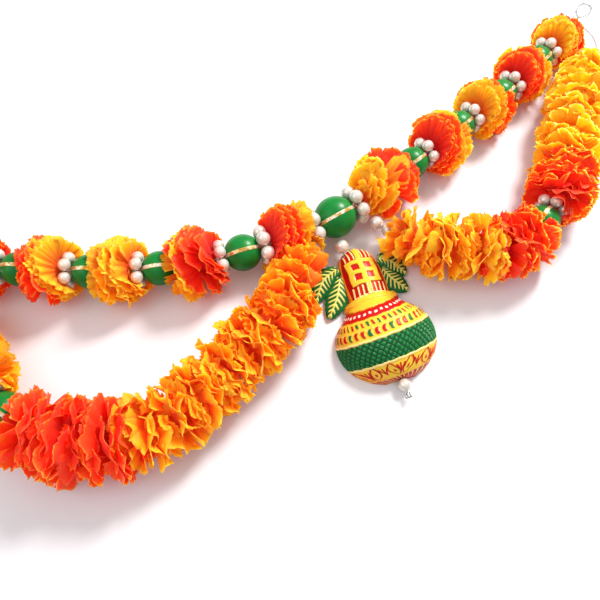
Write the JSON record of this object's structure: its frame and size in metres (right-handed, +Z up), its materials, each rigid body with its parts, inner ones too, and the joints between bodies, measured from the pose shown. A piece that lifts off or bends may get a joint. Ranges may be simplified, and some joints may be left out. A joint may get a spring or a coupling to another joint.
{
  "type": "door garland",
  "caption": "Door garland of red and yellow cloth marigolds on a string with green beads, pearl rings, full petal swags and a moulded pot-and-coconut pendant, lying flat.",
  "frame": {"origin": "bottom centre of the whole garland's box, on the surface that it lies on", "axes": "+X along the garland's length, towards its raised right end; +Y away from the pendant; +Z up from the surface"},
  "size_m": [0.638, 0.4874, 0.0572],
  "materials": {
    "petal_yellow": "matte cloth with frayed, deeper edges",
    "petal_orange": "matte cloth with frayed, golden edges",
    "petal_red": "matte cloth with frayed edges",
    "bead_green": "glossy painted bead",
    "gold_ribbon": "glitter strip",
    "pearl": "pearlescent coat",
    "thread": "twisted cotton thread",
    "wire": "drawn wire",
    "pot_paint": "hand-painted relief under thin varnish",
    "coconut_paint": "hand-painted relief under thin varnish",
    "leaf_paint": "varnished paint with pale veins"
  },
  "bodies": {
    "root": {"string": "thread", "hook_left": "wire", "hook_right": "wire", "bead_centre": "bead_green", "bead_left_1": "bead_green", "bead_left_2": "bead_green", "bead_left_3": "bead_green", "bead_left_4": "bead_green", "bead_right_1": "bead_green", "bead_right_2": "bead_green", "bead_right_3": "bead_green", "bead_right_4": "bead_green", "bead_swag_left": "bead_green", "bead_swag_right": "bead_green", "pearls_before_bead_left_1": "pearl", "pearls_before_bead_left_2": "pearl", "pearls_before_bead_left_3": "pearl", "pearls_before_bead_left_4": "pearl", "pearls_after_bead_left_4": "pearl", "pearls_before_bead_centre": "pearl", "pearls_after_bead_centre": "pearl", "pearls_after_bead_right_1": "pearl", "pearls_after_bead_right_2": "pearl", "pearls_after_bead_right_3": "pearl", "pearls_after_bead_right_4": "pearl", "pearls_swag_left": "pearl", "pearls_swag_right": "pearl", "pearl_pendant_top": "pearl", "pearl_pendant_bottom": "pearl", "flower_left_1": "petal_red", "flower_left_2_red": "petal_red", "flower_left_2_yellow": "petal_yellow", "flower_left_3": "petal_yellow", "flower_left_4_red": "petal_red", "flower_left_4_yellow": "petal_yellow", "flower_left_5_red": "petal_red", "flower_left_5_yellow": "petal_yellow", "flower_right_1_red": "petal_red", "flower_right_1_yellow": "petal_yellow", "flower_right_2_red": "petal_red", "flower_right_2_yellow": "petal_yellow", "flower_right_3_red": "petal_red", "flower_right_3_yellow": "petal_yellow", "flower_right_4_red": "petal_red", "flower_right_4_yellow": "petal_yellow", "flower_right_5_red": "petal_red", "flower_right_5_yellow": "petal_yellow", "swag_left_orange": "petal_orange", "swag_left_red": "petal_red", "swag_left_yellow": "petal_yellow", "swag_right_yellow_inner": "petal_yellow", "swag_right_red_inner": "petal_red", "swag_right_red_outer": "petal_red", "swag_right_yellow_outer": "petal_yellow", "kalash_pot": "pot_paint", "coconut": "coconut_paint", "mango_leaves_left": "leaf_paint", "mango_leaves_right": "leaf_paint", "pendant_pin_top": "wire", "pendant_knot": "wire"}
  },
  "joints": []
}
